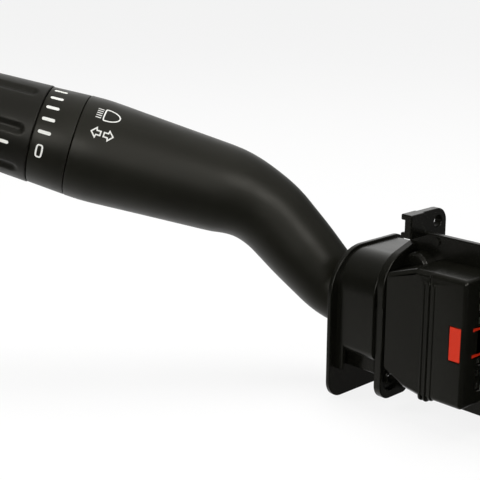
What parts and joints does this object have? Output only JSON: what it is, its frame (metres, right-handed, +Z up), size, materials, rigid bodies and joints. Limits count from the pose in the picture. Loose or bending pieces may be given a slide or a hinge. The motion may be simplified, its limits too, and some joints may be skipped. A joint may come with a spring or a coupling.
{
  "type": "headlight dimmer switch",
  "caption": "Steering column lever switch: bent stalk with rotating wiper knob, turn and dimmer pivots, connector housing and mounting ears.",
  "frame": {"origin": "middle of the two mounting screw holes, on the seating face of the ear flange", "axes": "+X is the way the module slides into the column and the seating face looks, -Y faces the driver, +Z up"},
  "size_m": [0.1626, 0.1005, 0.088],
  "materials": {
    "satin_black": "satin",
    "gloss_black": "semi-gloss",
    "glass_filled_nylon": "matte",
    "natural_acetal": "satin",
    "red": "satin",
    "steel": "zinc plated",
    "tin": "tin plated",
    "copper": "bright",
    "board_green": "solder mask",
    "wire_grey": "matte"
  },
  "bodies": {
    "housing": {"bezel_plate": "satin_black", "housing": "gloss_black", "rear_cover": "gloss_black", "cover_screws": "steel", "connector_housing": "gloss_black", "terminal_lock": "red", "terminals": "tin", "circuit_board": "board_green", "contact_tracks": "copper", "detent_cam": "natural_acetal", "pawl_pin": "steel", "pawl_spring": "steel", "turn_pin": "steel"},
    "turn_carrier": {"turn_carrier": "natural_acetal", "dimmer_pin": "steel", "detent_plunger": "steel", "plunger_spring": "steel"},
    "lever": {"lever_root": "glass_filled_nylon", "lever_front_shell": "satin_black", "lever_rear_shell": "satin_black", "lever_harness": "wire_grey", "marked_ring": "satin_black", "grip_switch_case": "glass_filled_nylon", "grip_board": "board_green"},
    "wiper_knob": {"wiper_knob": "satin_black", "rotor_contact": "natural_acetal"},
    "washer_button": {"washer_button": "satin_black", "button_spring": "steel"},
    "turn_slider": {"turn_slider": "natural_acetal", "turn_contacts": "copper"},
    "dimmer_slider": {"dimmer_slider": "natural_acetal", "dimmer_contacts": "copper"},
    "cancel_pawl": {"cancel_pawl": "natural_acetal"}
  },
  "joints": [
    {"name": "turn_signal", "type": "hinge", "parent": "housing", "child": "turn_carrier", "pos_m": [0, -0.001, -0.0045], "axis": [0, 1, 0], "range_deg": [-10, 10]},
    {"name": "dimmer", "type": "hinge", "parent": "turn_carrier", "child": "lever", "pos_m": [0, -0.001, -0.0045], "axis": [0, 0, 1], "range_deg": [-5, 8], "stiffness_Nm_per_rad": 1.5},
    {"name": "wiper_select", "type": "hinge", "parent": "lever", "child": "wiper_knob", "pos_m": [-0.08402, -0.05026, 0.03732], "axis": [-0.6991, -0.6588, 0.2782], "range_deg": [0, 130]},
    {"name": "washer_push", "type": "slide", "parent": "wiper_knob", "child": "washer_button", "axis": [0.6991, 0.6588, -0.2782], "range_m": [0, 0.0025], "stiffness_N_per_m": 800, "deforming": ["button_spring"]},
    {"name": "turn_slide", "type": "slide", "parent": "housing", "child": "turn_slider", "axis": [0, 0, 1], "range_m": [-0.0019, 0.0019]},
    {"name": "dimmer_slide", "type": "slide", "parent": "housing", "child": "dimmer_slider", "axis": [0, 1, 0], "range_m": [-0.00096, 0.0015]},
    {"name": "cancel_pivot", "type": "hinge", "parent": "housing", "child": "cancel_pawl", "pos_m": [0.035, 0.0132, -0.0045], "axis": [0, 1, 0], "range_deg": [-20, 20], "stiffness_Nm_per_rad": 0.05}
  ],
  "couplings": [
    {"joint": "turn_slide", "follows": "turn_signal", "m_per_rad": -0.0105},
    {"joint": "dimmer_slide", "follows": "dimmer", "m_per_rad": 0.0106}
  ]
}
